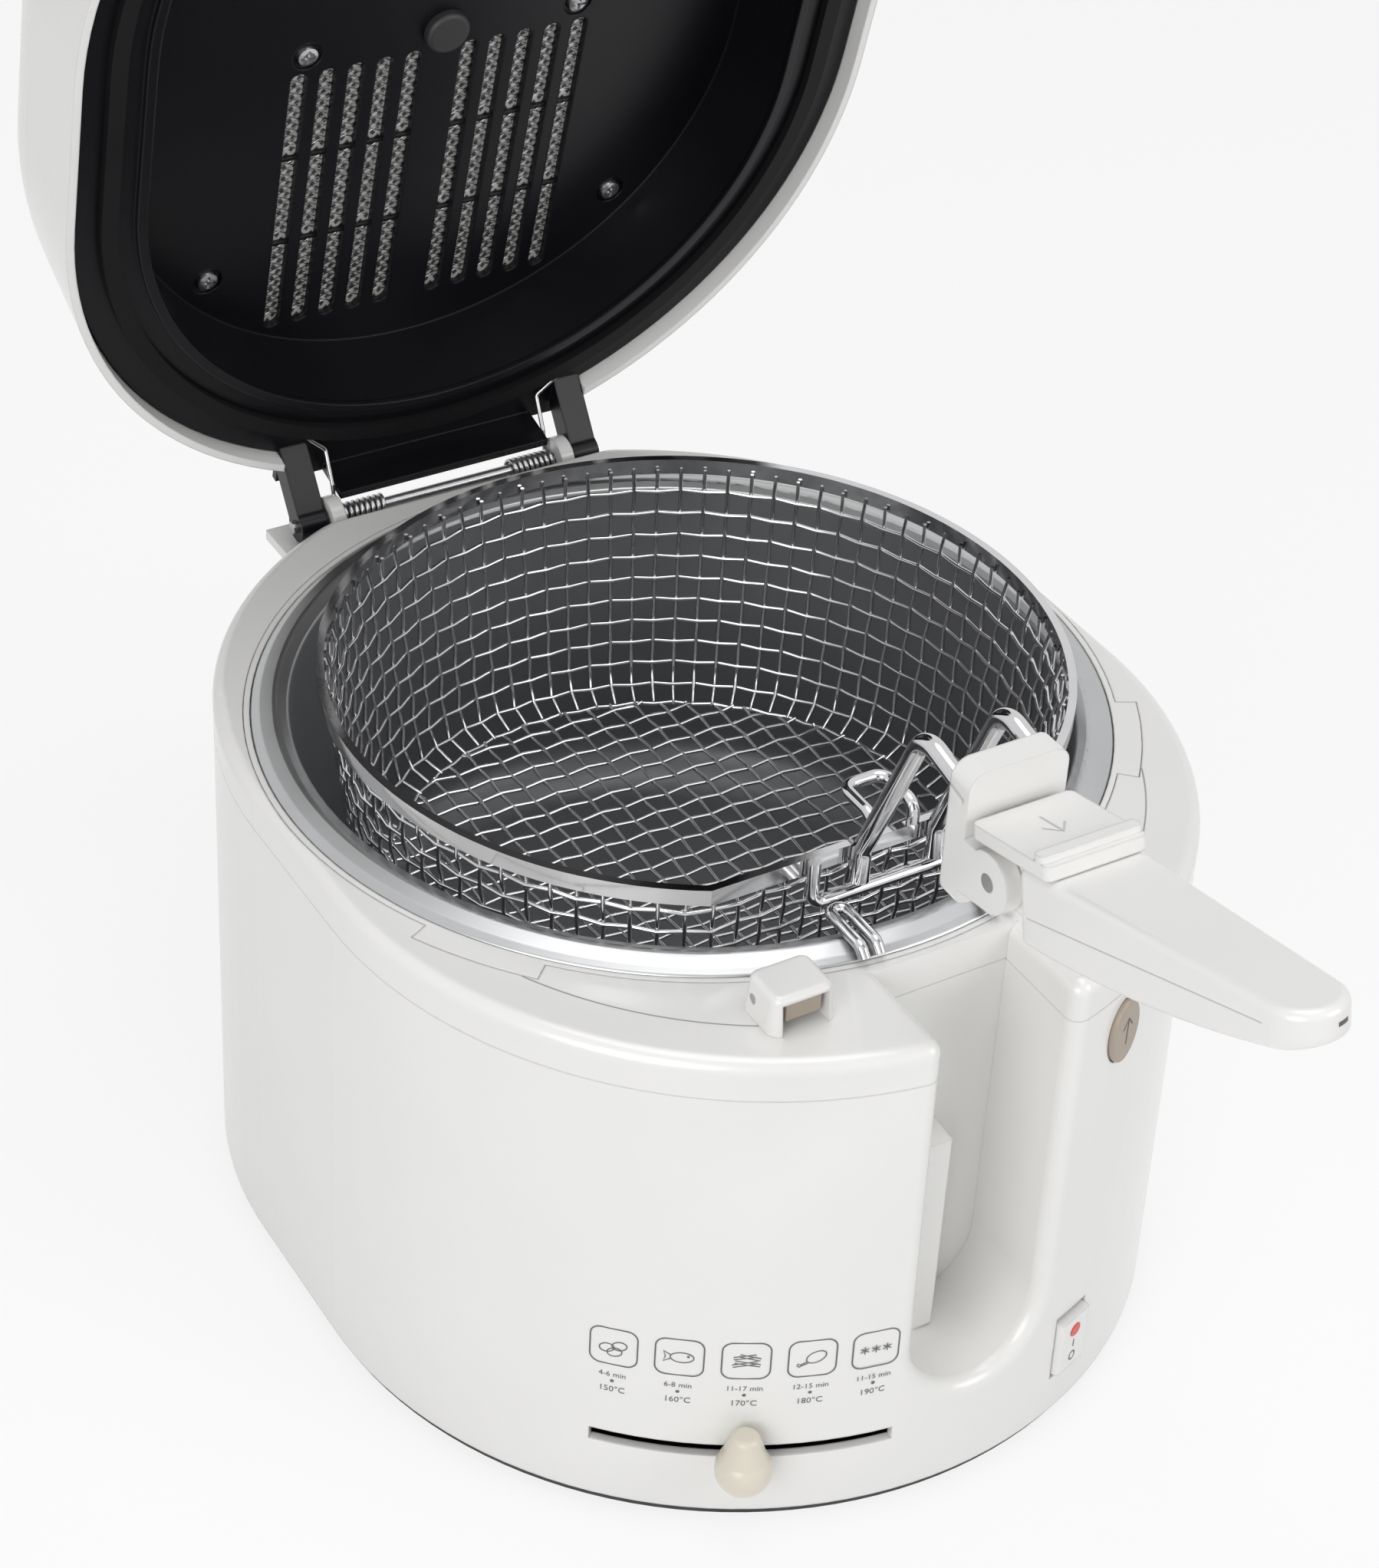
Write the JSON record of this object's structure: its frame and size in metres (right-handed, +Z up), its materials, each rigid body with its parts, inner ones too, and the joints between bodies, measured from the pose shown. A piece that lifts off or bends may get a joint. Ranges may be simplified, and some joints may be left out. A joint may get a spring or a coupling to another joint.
{
  "type": "deep fryer",
  "caption": "Oval deep fryer with a hinged domed lid, lift-out wire basket on a folding handle, round bowl, temperature slider, rocker switch and lid release button.",
  "frame": {"origin": "on the table under the axis of the round bowl, at the middle pad of the base", "axes": "+Z up, +Y towards the lid hinge, -Y towards the handle, +X to the right seen from the handle"},
  "size_m": [0.259, 0.4911, 0.466],
  "materials": {
    "white_gloss": "glossy moulded plastic",
    "dark_plastic": "matt moulded plastic",
    "black_plastic": "matt black heat-proof plastic",
    "rubber": "moulded rubber",
    "steel": "plain steel",
    "aluminium": "satin rolled aluminium, grey non-stick inside",
    "cream_plastic": "glossy moulded plastic",
    "taupe_plastic": "satin moulded plastic",
    "red_lens": "clear red lens",
    "chrome_wire": "chromed steel wire"
  },
  "bodies": {
    "base": {"housing": "white_gloss", "base_plate": "dark_plastic", "feet": "rubber", "base_screws": "steel", "top_ring": "white_gloss", "bowl_collar": "white_gloss", "bowl": "aluminium", "heating_element": "steel", "heat_shield": "aluminium", "thermostat": "dark_plastic", "switch_body": "dark_plastic", "cable_gland": "dark_plastic", "latch_hood": "white_gloss", "latch_pin": "steel", "hinge_bracket": "white_gloss", "hinge_rod": "steel", "left_lid_spring": "steel", "right_lid_spring": "steel", "left_drain_hook": "chrome_wire", "right_drain_hook": "chrome_wire", "terminal_block": "dark_plastic", "thermal_fuse": "steel"},
    "lid": {"lid_shell": "white_gloss", "lid_panel": "black_plastic", "lid_seal": "rubber", "filter_mesh": "steel", "lid_screws": "steel", "steam_valve": "black_plastic", "vent_cover": "white_gloss", "lid_catch": "black_plastic"},
    "basket": {"basket_mesh": "chrome_wire", "basket_rim": "chrome_wire", "left_arm": "chrome_wire", "right_arm": "chrome_wire", "grip_loop": "chrome_wire", "rest_wire": "chrome_wire", "handle_bracket": "white_gloss", "handle_pin": "steel"},
    "grip": {"handle_grip": "white_gloss"},
    "lock": {"handle_lock": "white_gloss"},
    "button": {"release_button": "taupe_plastic"},
    "claw": {"latch_claw": "taupe_plastic"},
    "slider": {"slider_lever": "dark_plastic", "slider_knob": "cream_plastic"},
    "rocker_body": {"rocker": "white_gloss", "pilot_lens": "red_lens"}
  },
  "joints": [
    {"name": "lid_hinge", "type": "hinge", "parent": "base", "child": "lid", "pos_m": [0, 0.147, 0.156], "axis": [-1, 0, 0], "range_deg": [-75, 0], "stiffness_Nm_per_rad": 0.6, "springref_deg": 57.3},
    {"name": "basket_lift", "type": "slide", "parent": "base", "child": "basket", "axis": [0, -0.175, 0.9846], "range_m": [-0.0458, 0]},
    {"name": "handle_fold", "type": "hinge", "parent": "basket", "child": "grip", "pos_m": [0.005, -0.16, 0.216], "axis": [-1, 0, 0], "range_deg": [-103, 0]},
    {"name": "handle_unlock", "type": "slide", "parent": "grip", "child": "lock", "axis": [0, -0.9744, 0.225], "range_m": [0, 0.006], "stiffness_N_per_m": 200, "springref_m": -0.002},
    {"name": "lid_release", "type": "slide", "parent": "base", "child": "button", "axis": [-0.3746, 0.9272, 0], "range_m": [0, 0.003], "stiffness_N_per_m": 600, "springref_m": -0.001},
    {"name": "claw_swing", "type": "hinge", "parent": "base", "child": "claw", "pos_m": [-0.045, -0.127, 0.1714], "axis": [1, 0, 0], "range_deg": [0, 8], "stiffness_Nm_per_rad": 0.05, "springref_deg": -5.73},
    {"name": "temperature", "type": "hinge", "parent": "base", "child": "slider", "pos_m": [0, -0.034, 0.028], "axis": [0, 0, 1], "range_deg": [-16.5, 16.5]},
    {"name": "power", "type": "hinge", "parent": "base", "child": "rocker_body", "pos_m": [0.04036, -0.15121, 0.03], "axis": [0.9455, 0.3256, 0], "range_deg": [-8, 8]}
  ],
  "couplings": [
    {"joint": "basket_lift", "follows": "lid_hinge", "m_per_rad": 0.034912}
  ]
}
